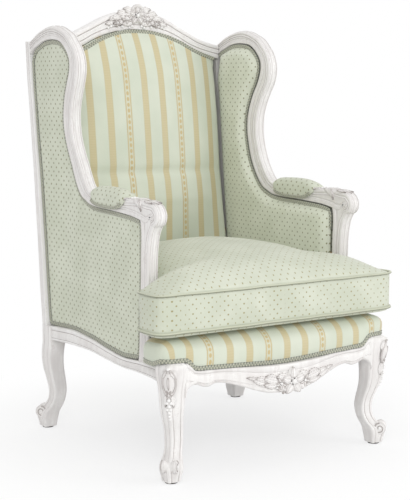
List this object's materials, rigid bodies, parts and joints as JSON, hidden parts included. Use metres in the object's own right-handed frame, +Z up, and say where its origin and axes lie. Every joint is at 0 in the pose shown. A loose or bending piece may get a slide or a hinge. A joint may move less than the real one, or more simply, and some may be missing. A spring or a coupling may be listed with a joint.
{
  "type": "winged armchair",
  "caption": "High-backed winged armchair: carved, painted cabriole frame, padded back, wings and arms, and a loose T-shaped seat cushion.",
  "frame": {"origin": "on the floor, below the middle of the chair's bounding box", "axes": "+X to the right of someone facing the chair, +Y from the front to the back, +Z up"},
  "size_m": [0.724, 0.7787, 1.1743],
  "materials": {
    "painted_wood": "antique white paint over carved beech, with a grey-pink glaze left in the grooves and rubbed edges",
    "bare_wood": "unfinished beech, planed",
    "dotted_silk": "pale sage satin with staggered small olive-gold dots",
    "striped_silk": "pale green satin with straw-gold stripes, every third one patterned",
    "braid": "grey-green woven gimp with looped edges",
    "linen": "plain undyed linen and jute",
    "black_cloth": "black woven dust cloth",
    "spring_steel": "drawn spring steel wire, slightly oiled",
    "glide_plastic": "dark moulded nylon"
  },
  "bodies": {
    "chair": {"front_leg_left": "painted_wood", "front_leg_right": "painted_wood", "back_leg_left": "painted_wood", "back_leg_right": "painted_wood", "front_seat_rail": "painted_wood", "side_seat_rail_left": "painted_wood", "side_seat_rail_right": "painted_wood", "back_seat_rail": "painted_wood", "arm_post_left": "painted_wood", "arm_post_right": "painted_wood", "arm_rail_left": "painted_wood", "arm_rail_right": "painted_wood", "wing_rail_left": "painted_wood", "wing_rail_right": "painted_wood", "crest_rail": "painted_wood", "crest_carving": "painted_wood", "apron_carving": "painted_wood", "lower_back_rail": "bare_wood", "arm_stay_left": "bare_wood", "arm_stay_right": "bare_wood", "corner_blocks": "bare_wood", "corner_screws": "spring_steel", "frame_dowels": "bare_wood", "seat_springs": "spring_steel", "spring_clips": "spring_steel", "spring_cloth": "linen", "seat_deck": "striped_silk", "deck_gimp": "braid", "back_webbing": "linen", "inside_back": "striped_silk", "inside_back_gimp": "braid", "outside_back": "dotted_silk", "outside_back_gimp": "braid", "inside_panel_left": "dotted_silk", "inside_panel_right": "dotted_silk", "inside_gimp_left": "braid", "inside_gimp_right": "braid", "outside_panel_left": "dotted_silk", "outside_panel_right": "dotted_silk", "outside_gimp_left": "braid", "outside_gimp_right": "braid", "arm_pad_left": "dotted_silk", "arm_pad_right": "dotted_silk", "arm_pad_gimp_left": "braid", "arm_pad_gimp_right": "braid", "dust_cover": "black_cloth", "glide_front_left": "glide_plastic", "glide_front_right": "glide_plastic", "glide_back_left": "glide_plastic", "glide_back_right": "glide_plastic"},
    "seat_cushion": {"cushion_top": "dotted_silk", "cushion_bottom": "dotted_silk", "cushion_boxing": "dotted_silk", "cushion_filling": "linen", "upper_piping": "dotted_silk", "lower_piping": "dotted_silk"}
  },
  "joints": [
    {"name": "cushion_lift", "type": "slide", "parent": "chair", "child": "seat_cushion", "axis": [0, -0.8192, 0.5736], "range_m": [0, 0.75]}
  ]
}
